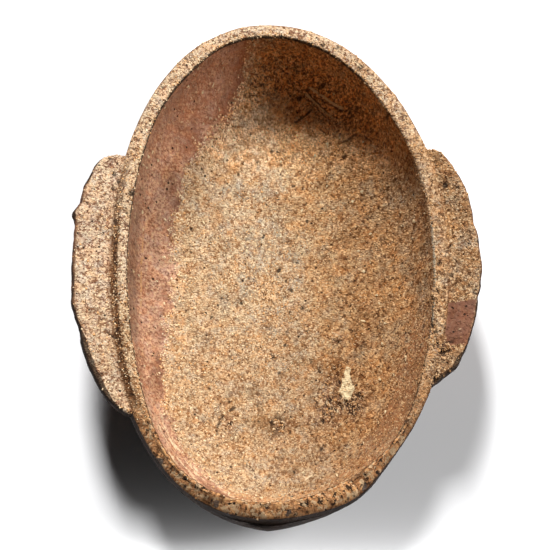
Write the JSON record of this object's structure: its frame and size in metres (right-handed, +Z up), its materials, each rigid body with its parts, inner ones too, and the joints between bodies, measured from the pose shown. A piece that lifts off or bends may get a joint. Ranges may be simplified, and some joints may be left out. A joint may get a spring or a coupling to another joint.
{
  "type": "eared dish",
  "caption": "Shallow oval dish of fired clay with a flat foot, a flat lip and a long flat ear along each long side.",
  "frame": {"origin": "middle of the foot's flat underside, where the dish stands", "axes": "+Z up out of the bowl, +Y along the oval to its far end, +X to the side whose ear is broken"},
  "size_m": [0.1019, 0.128, 0.0329],
  "materials": {
    "terracotta": "unglazed low-fired clay, dry and matt, with a sandy buff crust, bare pinkish-brown patches and dark specks"
  },
  "bodies": {
    "root": {"eared_dish": "terracotta"}
  },
  "joints": []
}
